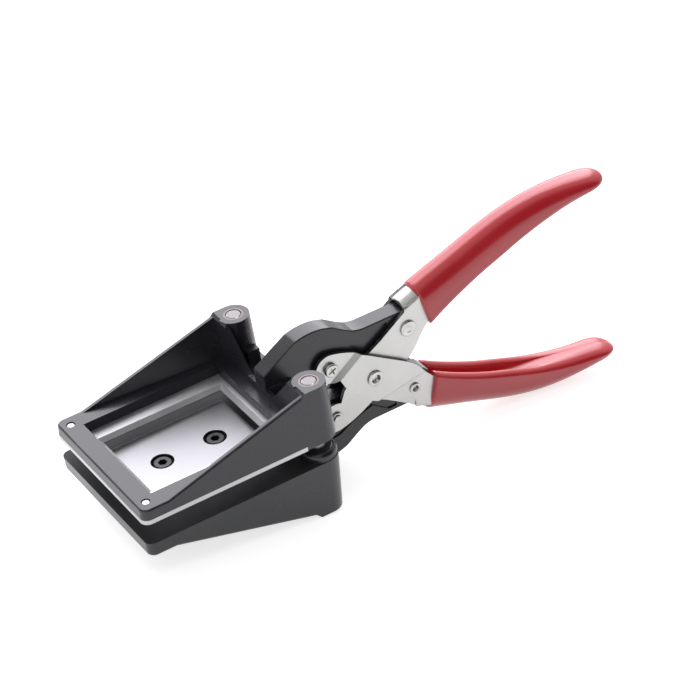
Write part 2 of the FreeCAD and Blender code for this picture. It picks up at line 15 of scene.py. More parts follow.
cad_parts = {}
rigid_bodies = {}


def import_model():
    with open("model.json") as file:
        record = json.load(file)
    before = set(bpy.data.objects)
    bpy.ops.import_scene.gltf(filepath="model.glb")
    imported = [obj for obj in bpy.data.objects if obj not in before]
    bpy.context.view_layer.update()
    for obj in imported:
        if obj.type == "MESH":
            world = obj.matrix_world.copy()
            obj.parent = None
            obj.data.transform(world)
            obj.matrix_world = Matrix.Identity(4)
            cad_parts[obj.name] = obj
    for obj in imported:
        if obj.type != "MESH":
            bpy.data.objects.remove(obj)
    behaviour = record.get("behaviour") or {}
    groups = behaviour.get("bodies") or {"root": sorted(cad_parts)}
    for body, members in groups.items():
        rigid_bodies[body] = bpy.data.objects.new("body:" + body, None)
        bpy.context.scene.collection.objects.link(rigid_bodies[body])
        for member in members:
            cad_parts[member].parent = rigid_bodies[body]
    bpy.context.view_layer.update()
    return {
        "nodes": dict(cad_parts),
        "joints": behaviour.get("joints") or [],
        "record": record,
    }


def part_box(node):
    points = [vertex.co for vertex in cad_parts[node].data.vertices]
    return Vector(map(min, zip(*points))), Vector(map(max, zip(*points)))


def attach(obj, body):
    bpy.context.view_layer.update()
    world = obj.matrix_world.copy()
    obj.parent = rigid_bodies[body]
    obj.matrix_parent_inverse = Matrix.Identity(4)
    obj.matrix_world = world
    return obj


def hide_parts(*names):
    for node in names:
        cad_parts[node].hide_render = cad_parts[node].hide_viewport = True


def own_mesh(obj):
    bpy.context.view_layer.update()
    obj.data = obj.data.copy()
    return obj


def add(name, data):
    """A new object in the scene, at its origin."""
    made = bpy.data.objects.new(name, data)
    bpy.context.scene.collection.objects.link(made)
    return made


for leftover in list(bpy.data.objects):
    bpy.data.objects.remove(leftover)
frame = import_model()
nodes = frame["nodes"]

# %% [markdown]
# ## The tool's own axes
# The cutter was drawn flat: x across, y from the heads to the grips, z along the guide pins, in
# millimetres. It then leans back on to its grip. A matrix that turns a drawing point into a place in the
# scene keeps every later number readable, and two joints of the record are enough to find it: the stroke
# gives the lean, and the main rivet gives the place.

# %% Find the lean and the matrix
joints = {j["name"]: j for j in frame["joints"]}
stroke = joints["head_stroke"]["axis"]
lean = math.atan2(stroke[1], -stroke[2])
cross_y = 106.8
tool = (Matrix.Translation(Vector(joints["handle_cross"]["pos_m"]))
        @ Matrix.Rotation(lean, 4, "X")
        @ Matrix.Diagonal((0.001, 0.001, 0.001, 1.0))
        @ Matrix.Translation((0, -cross_y, 0)))
tool_turn = tool.to_3x3().normalized()


def place(x, y, z):
    """A drawing point in millimetres, as a place in the scene."""
    return tool @ Vector((x, y, z))


def turn_to_scene(x, y, z):
    """A direction of the drawing, as a direction in the scene."""
    return (tool_turn @ Vector((x, y, z))).normalized()


guide_axis = turn_to_scene(0, 0, 1)
print("lean %.3f degrees" % math.degrees(lean))

# %% [markdown]
# ## Smooth lines and fades
# The handles bend in long curves that were read off at a few places. A cubic curve through those points
# gives the height anywhere between them, without the corners that straight runs would leave. A fade says
# how far along the handle something has come, from 0 to 1: the slant of the mouth, the trough or the
# round tip.

# %% Helpers for lines along the handle
def follow(line, y):
    """Height of a smooth curve through the points of a line, at y."""
    i = max(1, min(len(line) - 3, sum(p[0] <= y for p in line) - 1))
    (y0, z0), (y1, z1), (y2, z2), (y3, z3) = line[i - 1:i + 3]
    t = (y - y1) / (y2 - y1)
    m1 = (z2 - z0) / (y2 - y0) * (y2 - y1)
    m2 = (z3 - z1) / (y3 - y1) * (y2 - y1)
    return ((2 * t**3 - 3 * t**2 + 1) * z1 + (t**3 - 2 * t**2 + t) * m1
            + (3 * t**2 - 2 * t**3) * z2 + (t**3 - t**2) * m2)


def fade(y, start, length):
    """0 before the start, 1 from start + length on, and even between them."""
    return min(1.0, max(0.0, (y - start) / length))


print("half way along a fade:", fade(5.0, 0.0, 10.0))

# %% [markdown]
# ## The camera
# The photograph was taken from the right of the heads, high up, with a long lens: the edges that run away
# from the camera hardly meet. The direction, distance and lens come from fitting the cutter's straight
# edges, so the render can be laid over the photograph.

# %% Set up the camera
photo_width = 700.0
focal_pixels = 2803.0
sensor_width = 36.0
camera_spot = (712.29, -271.8, 584.64)
view = Vector((-0.7209, 0.3782, -0.5808))
right = Vector((0.5279, 0.8426, -0.1065)).normalized()
upward = right.cross(view).normalized()
view = upward.cross(right).normalized()
turn = tool_turn @ Matrix((right, upward, -view)).transposed()
camera = add("photo_camera", bpy.data.cameras.new("photo_camera"))
camera.matrix_world = Matrix.Translation(place(*camera_spot)) @ turn.to_4x4()
camera.data.sensor_width = sensor_width
camera.data.sensor_fit = "HORIZONTAL"
camera.data.lens = focal_pixels / photo_width * sensor_width
camera.data.clip_start = 0.02
camera.data.clip_end = 20.0
bpy.context.scene.camera = camera
bpy.context.scene.view_settings.view_transform = "Standard"
print("lens %.1f mm" % camera.data.lens)

# %% [markdown]
# ## A short way to write nodes
# Every material below is a small net of nodes. One helper makes a node, sets its options and either links
# or sets each of its inputs, so a material reads from top to bottom like a recipe. A second one gives a
# tree its number inputs, which is how a size keeps its name inside the tree.

# %% Helpers for nodes
def put(tree, kind, inputs=None, **options):
    """Make a node. A socket given as an input is linked, anything else is its value."""
    made = tree.nodes.new(kind)
    for key, value in options.items():
        setattr(made, key, value)
    for key, value in (inputs or {}).items():
        if isinstance(value, bpy.types.NodeSocket):
            tree.links.new(value, made.inputs[key])
        else:
            made.inputs[key].default_value = value
    return made


def worked(tree, operation, *values, **options):
    """The result of one Math node on numbers or sockets."""
    return put(tree, "ShaderNodeMath", dict(enumerate(values)), operation=operation, **options).outputs[0]


def name_numbers(tree, numbers):
    """Give a tree a number input for each name, with its usual value."""
    for label, value in numbers.items():
        socket = tree.interface.new_socket(label, in_out="INPUT", socket_type="NodeSocketFloat")
        socket.default_value = value


def start_group(name, numbers, result):
    """An empty shader group with number inputs and one number output."""
    group = bpy.data.node_groups.new(name, "ShaderNodeTree")
    name_numbers(group, numbers)
    group.interface.new_socket(result, in_out="OUTPUT", socket_type="NodeSocketFloat")
    return group, group.nodes.new("NodeGroupInput"), group.nodes.new("NodeGroupOutput")


print("node helpers ready")

# %% [markdown]
# ## An effect that every finish shares: grain
# Paint, plating and ground steel differ, but all of them have a fine grain that the finger can feel. It
# is one group, so that a change in it reaches every material. The grain can be stretched along one axis,
# which makes it rolling or grinding lines.

# %% Grain
def make_grain():
    """Fine noise, stretched by its three sizes in millimetres: equal for a skin, unequal for lines."""
    group, inlet, outlet = start_group(
        "surface_grain", {"Size X": 0.5, "Size Y": 0.5, "Size Z": 0.5, "Detail": 3.0}, "Height")
    where = put(group, "ShaderNodeTexCoord").outputs["Object"]
    counts = [worked(group, "DIVIDE", 1000.0, inlet.outputs["Size " + a]) for a in "XYZ"]
    stretch = put(group, "ShaderNodeCombineXYZ", dict(enumerate(counts)))
    spread = put(group, "ShaderNodeVectorMath", {0: where, 1: stretch.outputs[0]}, operation="MULTIPLY")
    noise = put(group, "ShaderNodeTexNoise", {
        "Vector": spread.outputs[0], "Scale": 1.0, "Detail": inlet.outputs["Detail"], "Roughness": 0.55})
    group.links.new(noise.outputs[0], outlet.inputs["Height"])
    return group


grain_group = make_grain()
print("group:", grain_group.name)

# %% [markdown]
# ## A second shared effect: handled patches
# Hands and tools polish a surface in one place and dull it in another. Soft clouds give that, from 0 to
# 1. A finish uses them twice, to mix two near colours and to vary the roughness, so a shiny patch is also
# a little darker, as on the real tool.

# %% Clouds
def make_clouds():
    """Soft patches from 0 to 1, with a size in millimetres and a contrast."""
    group, inlet, outlet = start_group("handled_clouds", {"Size": 20.0, "Contrast": 2.0}, "Mask")
    where = put(group, "ShaderNodeTexCoord").outputs["Object"]
    noise = put(group, "ShaderNodeTexNoise", {
        "Vector": where, "Scale": worked(group, "DIVIDE", 1000.0, inlet.outputs["Size"]),
        "Detail": 4.0, "Roughness": 0.6})
    centred = worked(group, "SUBTRACT", noise.outputs[0], 0.5)
    strong = worked(group, "MULTIPLY_ADD", centred, inlet.outputs["Contrast"], 0.5, use_clamp=True)
    group.links.new(strong, outlet.inputs["Mask"])
    return group


clouds_group = make_clouds()
print("group:", clouds_group.name)

# %% [markdown]
# ## From effects to a finish
# A finish is then a few choices: two colours that the clouds mix, a range of roughness, and a grain with
# its depth. The metals differ from the paints only in the shader's own settings.

# %% Write a finish
def finish(name, dark, light, rough, grain, depth, cloud, metallic=0.0, specular=0.5):
    """A material. grain holds three sizes and depth its height, both in millimetres, and cloud holds the
    size and contrast of the patches that mix the two colours and the two values of roughness."""
    made = bpy.data.materials.new(name)
    made.use_nodes = True
    tree = made.node_tree
    tree.nodes.clear()
    clouds = put(tree, "ShaderNodeGroup", node_tree=clouds_group)
    clouds.inputs["Size"].default_value = cloud[0]
    clouds.inputs["Contrast"].default_value = cloud[1]
    mask = clouds.outputs["Mask"]
    lines = put(tree, "ShaderNodeGroup", node_tree=grain_group)
    for axis, size in zip("XYZ", grain):
        lines.inputs["Size " + axis].default_value = size
    colour = put(tree, "ShaderNodeMix", {0: mask, 6: (*dark, 1.0), 7: (*light, 1.0)}, data_type="RGBA")
    dull = put(tree, "ShaderNodeMapRange", {"Value": mask, "To Min": rough[0], "To Max": rough[1]})
    bump = put(tree, "ShaderNodeBump", {
        "Height": lines.outputs["Height"], "Strength": 1.0, "Distance": depth / 1000.0})
    shader = put(tree, "ShaderNodeBsdfPrincipled", {
        "Base Color": colour.outputs[2], "Roughness": dull.outputs[0], "Normal": bump.outputs[0],
        "Metallic": metallic, "Specular IOR Level": specular})
    put(tree, "ShaderNodeOutputMaterial", {"Surface": shader.outputs[0]})
    return made


print("a finish takes two colours, a roughness, a grain and clouds")

# %% [markdown]
# ## Paint and vinyl
# The castings have a semi-gloss black enamel with a faint blue in it. Between the heads a duller enamel
# with little gloss paints the shade that the upper head casts there. The sleeves are vinyl: a matt red
# body under a smooth skin, which the shader's coat gives without a second material.

# %% Paint and vinyl
coatings = {
    "black_enamel": dict(dark=(0.0140, 0.0145, 0.0185), light=(0.0225, 0.0230, 0.0285), rough=(0.21, 0.31),
                         grain=(0.8, 0.8, 0.8), depth=0.010, cloud=(22.0, 1.8), specular=0.55),
    # Painted shade: a duller, less glossy enamel for the floor of the gap between the heads.
    "shaded_gap_enamel": dict(dark=(0.0270, 0.0270, 0.0295), light=(0.0400, 0.0398, 0.0430), rough=(0.50, 0.62),
                        grain=(0.6, 0.6, 0.6), depth=0.012, cloud=(12.0, 1.8), specular=0.18),
    "dipped_grip": dict(dark=(0.50, 0.016, 0.025), light=(0.57, 0.022, 0.032), rough=(0.30, 0.38),
                        grain=(1.4, 1.4, 1.4), depth=0.010, cloud=(25.0, 1.6)),
}
finishes = {name: finish(name, **recipe) for name, recipe in coatings.items()}
vinyl = finishes["dipped_grip"].node_tree.nodes["Principled BSDF"]
vinyl.inputs["Coat Weight"].default_value = 0.5
vinyl.inputs["Coat Roughness"].default_value = 0.16
print("coatings:", *coatings)

# %% [markdown]
# ## Sheet and ground steel
# Rolling leaves lines along the handles' plates, and grinding leaves finer ones across the die and the
# punch. Both are the same grain with one long size. The die's upward faces are coarser than the punch face
# and lighter, a painted highlight. The punch face is a rougher, darker copy of the ground steel, painted
# shade. The die's underside is near black, painted shade under it. The sheet's sheared edges are dark and
# torn.

# %% Sheet and ground steel
steels = {
    "plated_sheet": dict(dark=(0.47, 0.47, 0.46), light=(0.55, 0.55, 0.54), rough=(0.33, 0.40),
                         grain=(0.2, 3.0, 0.2), depth=0.0016, cloud=(9.0, 1.6), metallic=1.0),
    "sheared_edge": dict(dark=(0.035, 0.034, 0.033), light=(0.15, 0.148, 0.145), rough=(0.40, 0.55),
                         grain=(0.5, 0.25, 0.25), depth=0.02, cloud=(3.0, 3.0), metallic=0.8),
    "ground_steel": dict(dark=(0.40, 0.40, 0.41), light=(0.46, 0.46, 0.47), rough=(0.24, 0.30),
                         grain=(2.5, 0.10, 0.10), depth=0.0008, cloud=(30.0, 1.5), metallic=1.0),
    # Painted shade: a rougher, darker copy of the ground steel for the punch's face.
    "shaded_punch_face": dict(dark=(0.29, 0.29, 0.30), light=(0.34, 0.34, 0.35), rough=(0.36, 0.44),
                        grain=(2.5, 0.10, 0.10), depth=0.0008, cloud=(16.0, 1.5), metallic=1.0),
    # Painted highlight: a rougher, lighter copy of the ground steel for the die's upward faces.
    "lit_die_top": dict(dark=(0.50, 0.50, 0.51), light=(0.62, 0.62, 0.63), rough=(0.46, 0.56),
                         grain=(2.5, 0.10, 0.10), depth=0.0008, cloud=(12.0, 1.6), metallic=1.0),
    # Painted shade: near black steel for the die's underside.
    "shaded_die_underside": dict(dark=(0.020, 0.019, 0.018), light=(0.045, 0.043, 0.041), rough=(0.30, 0.45),
                        grain=(0.4, 0.4, 0.4), depth=0.001, cloud=(6.0, 1.8), metallic=1.0, specular=0.2),
}
finishes.update({name: finish(name, **recipe) for name, recipe in steels.items()})
print("steels:", *steels)

# %% [markdown]
# ## Turned parts
# Pins, bushes, screws and rivets come off a lathe with a fine even grain. They differ in metal and
# polish: hard pins, whose ends take a darker copy of their steel as painted shade, bronze bushes,
# blackened socket screws, bright rivets and drawn spring wire.

# %% Turned parts
turned_metals = {
    # Painted shade: a darker copy of the pin steel for the pins' ends.
    "shaded_pin_end": dict(dark=(0.150, 0.146, 0.146), light=(0.205, 0.198, 0.200), rough=(0.36, 0.46),
                       grain=(0.10, 0.10, 0.10), depth=0.001, cloud=(3.0, 1.6), metallic=1.0),
    "hard_pin": dict(dark=(0.50, 0.495, 0.49), light=(0.62, 0.61, 0.60), rough=(0.42, 0.52),
                     grain=(0.12, 0.12, 0.12), depth=0.0008, cloud=(3.0, 1.6), metallic=1.0),
    "bush_bronze": dict(dark=(0.115, 0.098, 0.092), light=(0.165, 0.140, 0.130), rough=(0.32, 0.44),
                        grain=(0.15, 0.15, 0.15), depth=0.0015, cloud=(3.0, 1.8), metallic=1.0),
    "blackened_screw": dict(dark=(0.012, 0.012, 0.014), light=(0.040, 0.039, 0.042), rough=(0.24, 0.36),
                            grain=(0.25, 0.25, 0.25), depth=0.002, cloud=(2.0, 1.8), metallic=0.35),
    "bright_fastener": dict(dark=(0.42, 0.42, 0.41), light=(0.58, 0.58, 0.57), rough=(0.20, 0.30),
                            grain=(0.12, 0.12, 0.12), depth=0.001, cloud=(2.5, 1.6), metallic=1.0),
    "spring_steel": dict(dark=(0.26, 0.26, 0.27), light=(0.40, 0.40, 0.42), rough=(0.24, 0.36),
                         grain=(0.3, 0.3, 0.3), depth=0.001, cloud=(2.0, 1.8), metallic=1.0),
}
finishes.update({name: finish(name, **recipe) for name, recipe in turned_metals.items()})
print("finishes in all:", len(finishes))

# %% [markdown]
# ## Pieces that stand for solids
# Each new piece takes over from one CAD solid: it rides on the same body, keeps the same slot and hides
# the solid. A modifier is turned into plain mesh first, so that nothing changes afterwards.

# %% Helpers for pieces
body_of = {n: b for b, members in frame["record"]["behaviour"]["bodies"].items() for n in members}
slot_of = {n: nodes[n].data.materials[0].name for n in nodes}


def settle(piece):
    """Turn a piece with modifiers into a plain mesh."""
    graph = bpy.context.evaluated_depsgraph_get()
    done = bpy.data.meshes.new_from_object(piece.evaluated_get(graph), depsgraph=graph)
    piece.modifiers.clear()
    old = piece.data
    piece.data = done
    bpy.data.meshes.remove(old)
    return piece


def stand_in(piece, node):
    """Let a piece ride where its solid rides, and hide the solid."""
    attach(piece, body_of[node])
    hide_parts(node)
    return piece


def dress(piece, node):
    """Give a piece the finish of the solid that it stands for."""
    piece.data.materials.clear()
    piece.data.materials.append(finishes[slot_of[node]])
    return stand_in(piece, node)


def refinish(piece, slot, chosen):
    """Give the faces that are chosen by a test another finish, and count them."""
    piece.data.materials.append(finishes[slot])
    picked = [face for face in piece.data.polygons if chosen(face)]
    for face in picked:
        face.material_index = len(piece.data.materials) - 1
    return len(picked)


print("bodies:", *sorted(set(body_of.values())))

# %% [markdown]
# ## Edges that catch the light
# No real edge is a knife edge. Castings leave the mould with round edges that the paint softens further,
# and sheared sheet has a small burr. The CAD meshes are sharp, so each is copied, its triangles are
# melted into whole faces and its edges are bevelled by a few tenths of a millimetre. Weighted normals
# then keep the large faces flat.

# %% Soften the edges of a CAD solid
bevel_angle = math.radians(30.0)
melt_angle = math.radians(0.4)


def softened(node, width):
    """A merged copy of a CAD solid with edges bevelled by a width in millimetres."""
    melt = bmesh.new()
    melt.from_mesh(nodes[node].data)
    bmesh.ops.remove_doubles(melt, verts=melt.verts, dist=3e-6)
    bmesh.ops.dissolve_limit(melt, angle_limit=melt_angle, verts=melt.verts, edges=melt.edges)
    mesh = bpy.data.meshes.new(node + "_soft")
    melt.to_mesh(mesh)
    melt.free()
    piece = add(node + "_soft", mesh)
    mesh.polygons.foreach_set("use_smooth", [True] * len(mesh.polygons))
    rounding = piece.modifiers.new("rounding", "BEVEL")
    rounding.width = width / 1000.0
    rounding.segments = 2
    rounding.limit_method = "ANGLE"
    rounding.angle_limit = bevel_angle
    rounding.miter_outer = "MITER_ARC"
    flat = piece.modifiers.new("flat_faces", "WEIGHTED_NORMAL")
    flat.keep_sharp = True
    flat.weight = 80
    return settle(piece)


soft_edges = {"upper_frame": 0.45, "lower_frame": 0.45, "die_plate": 0.15, "punch_block": 0.12,
              "guide_pin_right": 0.25, "guide_pin_left": 0.25, "guide_bush_right": 0.12,
              "guide_bush_left": 0.12, "die_pins": 0.2}
soft = {node: dress(softened(node, width), node) for node, width in soft_edges.items()}
print("softened:", len(soft), "solids")

# %% [markdown]
# ## Faces with a finish of their own
# One solid can have several finishes, some of which paint light: a pin's ends take a darker copy of its
# steel as painted shade, the die's upward faces a lighter one as a painted highlight and its underside a
# near black one as painted shade, the punch's face a darker one as painted shade, and the gap floor
# between the heads a duller enamel as painted shade. A test on the way that a face looks picks them, which
# still works after the bevels have changed how many faces there are.

# %% Give single faces their finish
head_back_y = 78.0
straight, slanting = 0.95, 0.6


def looks(axis, least):
    """A test for faces that look along an axis."""
    return lambda face: face.normal.dot(axis) > least


def is_end(face):
    """A face across the guide pins, at either end."""
    return abs(face.normal.dot(guide_axis)) > straight


def is_gap_floor(face):
    """A face of the lower head that looks up into the gap between the heads."""
    return looks(guide_axis, straight)(face) and face.center.y < place(0, head_back_y, 0).y


# All of these paint light: darker pin ends, punch face, die underside and gap floor are painted shade, and
# the lighter upward faces of the die are a painted highlight.
for node, slot, chosen in (("guide_pin_right", "shaded_pin_end", is_end),
                           ("guide_pin_left", "shaded_pin_end", is_end),
                           ("die_plate", "shaded_die_underside", looks(-guide_axis, straight)),
                           ("punch_block", "shaded_punch_face", looks(guide_axis, straight)),
                           ("die_plate", "lit_die_top", looks(guide_axis, slanting)),
                           ("lower_frame", "shaded_gap_enamel", is_gap_floor)):
    count = refinish(soft[node], slot, chosen)
    print(node, slot, count, "faces")

# %% [markdown]
# ## The sheet handles
# Each handle is a strip of plated steel, folded round a former, so its back is an arch and its two plates
# are flat. Its cut edges get a darker steel. The CAD solid has a tighter fold, so the copy is cut into
# strips near its back and each strip sinks to the arch.
# The back slopes by about 22 degrees, so a height is turned into a thickness by that angle's cosine. The
# far end, which the sleeve hides, tapers so that it stays inside the round tip.

# %% Sizes of the fold
sheet = 1.5
plates_half = 5.25
gap_half = plates_half - sheet
outer_round, inner_round = 4.6, 1.8
fold_start = 122.9
slope_share = math.cos(math.radians(22.0))
fold_cuts = (-3.9, -3.0, -2.0, -1.0, 0.0, 1.0, 2.0, 3.0, 3.9)
sheet_burr = 0.22
taper_start, taper_length, taper_share = 186.0, 20.0, 0.5
rim_height = 35.0
steel_back = [(118.0, 20.9), (122.9, 22.80), (124.0, 23.28), (130.0, 25.58), (137.0, 28.0), (145.6, 30.9),
              (154.4, 34.0), (163.2, 36.9), (172.0, 39.1), (181.0, 40.5), (190.0, 40.9), (199.0, 40.5),
              (212.0, 38.5)]


def arch_drop(x, wide, round_r):
    """How far an arch lies below its crown at a distance x from the middle."""
    out = max(0.0, min(abs(x) - (wide - round_r), round_r))
    return round_r - math.sqrt(round_r**2 - out**2)


print("the arch sinks %.1f mm at the plates" % arch_drop(plates_half, plates_half, outer_round))

# %% [markdown]
# ## Fold the copy
# Moving points is enough for the fold, once the copy has enough of them: cuts along the handle give each
# strip its own height. The outer skin and the inner skin sink by different arches, so the sheet keeps
# about its thickness. The upper handle is folded as drawn, and the lower one is its mirror, which the
# side takes care of.

# %% Fold the handles
def folded(node, side):
    """A handle with a round back and a small burr along its edges; side is -1 for the lower one."""
    piece = softened(node, sheet_burr)
    to_drawing = tool.inverted()
    shape = bmesh.new()
    shape.from_mesh(piece.data)
    for cut in fold_cuts:
        bmesh.ops.bisect_plane(shape, geom=shape.verts[:] + shape.edges[:] + shape.faces[:], dist=1e-7,
                               plane_co=(cut / 1000, 0, 0), plane_no=(1, 0, 0))
    for vertex in shape.verts:
        x, y, z = to_drawing @ vertex.co
        z = z * side
        if y > fold_start and abs(x) < plates_half + 0.01:
            crown = follow(steel_back, y)
            depth = (crown - z) * slope_share
            if depth < sheet / 2:
                z = min(z, crown - arch_drop(x, plates_half, outer_round) / slope_share)
            elif depth < 2 * sheet and abs(x) < gap_half + 0.01:
                z = min(z, crown - (sheet + arch_drop(x, gap_half, inner_round)) / slope_share)
            vertex.co = place(x, y, z * side)
        if y > taper_start:
            narrow = 1.0 - taper_share * fade(y, taper_start, taper_length)
            middle = (follow(steel_back, y) + rim_height) / 2
            vertex.co = place(x * narrow, y, side * (middle + (z - middle) * narrow))
    shape.to_mesh(piece.data)
    shape.free()
    return piece


def cut_edge_test(piece):
    """A test for faces that look along the sheet and are only as wide as its thickness."""
    def is_cut_edge(face):
        across = [abs(piece.data.vertices[i].co.x) * 1000 for i in face.vertices]
        thin = max(across) - min(across) < sheet + 0.1
        return abs(face.normal.x) < 0.5 and thin and min(across) > gap_half - 0.15
    return is_cut_edge


for node, side in (("upper_handle", 1), ("lower_handle", -1)):
    handle = dress(folded(node, side), node)
    count = refinish(handle, "sheared_edge", cut_edge_test(handle))
    print(node, "folded,", count, "cut faces")

# %% [markdown]
# ## The dipped sleeves
# Each handle was dipped in liquid vinyl, which set as a thick skin on both sides of the steel channel.
# Its rims are round, its back is softly domed, and towards the end the trough between the rims fills up
# until the sleeve is one round tongue. A loft suits this: the same outline is drawn at many stations
# along the handle, each with its own width, height and depth of trough, and the rings are joined. A
# straight extrusion with bevels could not let the trough fade.

# %% The lines and sizes of the sleeve
back_line = [(124.0, 24.9), (130.0, 27.2), (137.0, 29.6), (145.6, 32.5), (154.4, 35.6), (163.2, 38.5),
             (172.0, 40.7), (181.0, 42.0), (190.0, 42.3), (199.0, 41.8), (206.0, 40.9), (212.2, 39.9),
             (218.0, 38.8)]
rim_line = [(130.0, 8.7), (132.3, 10.6), (138.0, 14.0), (145.0, 17.6), (154.0, 21.7), (163.0, 25.1),
            (176.4, 29.9), (190.0, 32.9), (200.2, 34.3), (206.0, 35.2), (212.2, 36.6), (218.0, 38.0)]
sleeve_half = 6.75
shoulder_wide, shoulder_tall = 5.6, 8.2
rim_round, lip_round = 2.1, 1.9
trough_half, nook_tall = 2.25, 1.1
mouth_y, full_y = 128.3, 129.0
mouth_slant, slant_length = 4.0, 60.0
tip_start, tip_end = 203.6, 212.15
back_thick = 4.5
trough_start, trough_fade, trough_power = 141.0, 48.0, 1.25
dish_depth, dish_start, dish_fade = 0.14, 190.0, 14.0
dome_start, dome_length = 176.0, 30.0
print("sleeve: %.1f mm high at its middle" % (follow(back_line, 170) - follow(rim_line, 170)))

# %% [markdown]
# ## One outline of the sleeve
# The outline runs from the middle of the back, round the shoulder and the rim, into the trough. Every
# station has the same number of points, in the same order, or the rings could not be joined. So a corner
# is never left out: where there is no room for it, it only gets small. A number that multiplies a width or
# a height below is the share of it that a corner may take.

# %% Draw an outline
def arc(cx, cy, wide, a0, a1, count, tall=None):
    """Points on a round or oval arc, without its last one."""
    tall = wide if tall is None else tall
    angles = [math.radians(a0 + (a1 - a0) * i / count) for i in range(count)]
    return [(cx + wide * math.cos(a), cy + tall * math.sin(a)) for a in angles]


def run(a, b, count):
    """Points on a straight run, without its last one."""
    return [(a[0] + (b[0] - a[0]) * i / count, a[1] + (b[1] - a[1]) * i / count) for i in range(count)]


def sleeve_outline(half, high, trough, dome, shrink=0.0):
    """The right half of one outline. half is the half width, high the height from rim to back, trough the
    depth, dome how far the rims have melted into one round side, and shrink pulls it in evenly."""
    half, high, s = half - shrink, high - shrink, shrink
    shoulder, fall = min(shoulder_wide, half - 0.3), min(shoulder_tall, 0.62 * (high - s))
    rim = min(rim_round + 3.6 * dome - s, (0.45 + 0.33 * dome) * half)
    rim_tall = min(rim_round + 1.3 * dome - s, 0.36 * (high - s))
    deep = max(0.02, trough + s)
    lip, lip_deep = min(lip_round - s, 0.5 * (half - rim)), min(lip_round - s, 0.6 * deep)
    inner = max(0.05, min(trough_half + s, half - rim - lip - 0.05))
    nook, nook_deep = 0.6 * inner, min(nook_tall, 0.38 * deep)
    points = run((0, high), (half - shoulder, high), 3)
    points += arc(half - shoulder, high - fall, shoulder, 90, 0, 9, fall)
    points += run((half, high - fall), (half, s + rim_tall), 5)
    points += arc(half - rim, s + rim_tall, rim, 0, -90, 7, rim_tall)
    points += run((half - rim, s), (inner + lip, s), 2)
    points += arc(inner + lip, s + lip_deep, lip, -90, -180, 5, lip_deep)
    points += run((inner, s + lip_deep), (inner, deep - nook_deep), 5)
    points += arc(inner - nook, deep - nook_deep, nook, 0, 90, 4, nook_deep)
    points += run((inner - nook, deep), (0, deep), 3)
    return points + [(0, deep)]


print("outline:", len(sleeve_outline(sleeve_half, 12, 7.5, 0)), "points on one side")

# %% [markdown]
# ## The stations
# The mouth is cut at a slant, because the handle was dipped while it hung, so each station leans: its rim
# lies further along than its back. Near the tip the width and the height follow rounded curves, blunter
# than a circle, and the stations crowd together there to keep the end smooth. The first few stations are
# pulled in a little, which rounds the mouth's edge.

# %% Place the outlines along the handle
width_power, width_root, least_half = 2.6, 2.2, 0.6
height_power, height_root, least_keep = 4.0, 2.0, 0.14
mouth_steps = ((0.0, 0.75), (0.05, 0.42), (0.3, 0.15))
long_count, tip_count = 44, 18


def station_ring(y, shrink):
    """One station as a closed ring of drawing points."""
    slant = mouth_slant * (1 - fade(y, mouth_y, slant_length)) ** 2
    tip = fade(y, tip_start, tip_end - tip_start)
    half = max(least_half, sleeve_half * (1 - tip**width_power) ** (1 / width_root))
    keep = max(least_keep, (1 - tip**height_power) ** (1 / height_root))
    back_z, rim_z = follow(back_line, y), follow(rim_line, y + slant)
    middle = (back_z + rim_z) / 2
    top = (y, middle + (back_z - middle) * keep)
    low = (y + slant, middle - (middle - rim_z) * keep)
    high = math.dist(top, low)
    ramp = (1 - fade(y, trough_start, trough_fade)) ** trough_power
    dish = dish_depth * (1 - fade(y, dish_start, dish_fade))
    trough = max(0.05, min(high - back_thick, (high - back_thick) * ramp + dish))
    right_side = sleeve_outline(half, high, trough, fade(y, dome_start, dome_length), shrink)
    across = right_side + [(-x, h) for x, h in right_side[-2:0:-1]]
    return [(x, low[0] + (top[0] - low[0]) * h / high, low[1] + (top[1] - low[1]) * h / high)
            for x, h in across]


quarter = [math.radians(90 * i / tip_count) for i in range(1, tip_count + 1)]
along = [full_y + (tip_start - full_y) * i / long_count for i in range(long_count + 1)]
along += [tip_start + (tip_end - tip_start) * math.sin(a) for a in quarter]
rings = [station_ring(mouth_y + step, shrink) for step, shrink in mouth_steps]
rings += [station_ring(y, 0.0) for y in along]
print(len(rings), "stations of", len(rings[0]), "points")

# %% [markdown]
# ## Join the rings
# Two neighbouring rings make a band of four-sided faces. The first and last rings are closed by small
# faces between matching points of the outline's outer and inner run, so that the cap follows the U of the
# section and does not cover the trough. One level of subdivision then smooths the whole skin.

# %% Loft the sleeves
def close_ring(shape, row):
    """Close a ring with faces from its outer run to its inner run, on both sides."""
    count = len(row)
    half = count // 2
    for i in range(half // 2):
        for corners in ((i, i + 1, half - i - 1, half - i),
                        ((count - i) % count, count - i - 1, half + i + 1, half + i)):
            picked = list(dict.fromkeys(row[c] for c in corners))
            if len(picked) > 2:
                shape.faces.new(picked)


def sleeve(name, side):
    """The sleeve of one handle as a closed mesh; side is 1 for the upper one and -1 for the lower one."""
    shape = bmesh.new()
    rows = [[shape.verts.new(place(x, y, side * z)) for x, y, z in ring] for ring in rings]
    for a, b in zip(rows, rows[1:]):
        for i in range(len(a)):
            j = (i + 1) % len(a)
            shape.faces.new((a[i], a[j], b[j], b[i]))
    close_ring(shape, rows[0])
    close_ring(shape, rows[-1])
    bmesh.ops.recalc_face_normals(shape, faces=shape.faces)
    mesh = bpy.data.meshes.new(name)
    shape.to_mesh(mesh)
    shape.free()
    mesh.polygons.foreach_set("use_smooth", [True] * len(mesh.polygons))
    piece = add(name, mesh)
    finer = piece.modifiers.new("finer", "SUBSURF")
    finer.levels = finer.render_levels = 1
    return settle(piece)


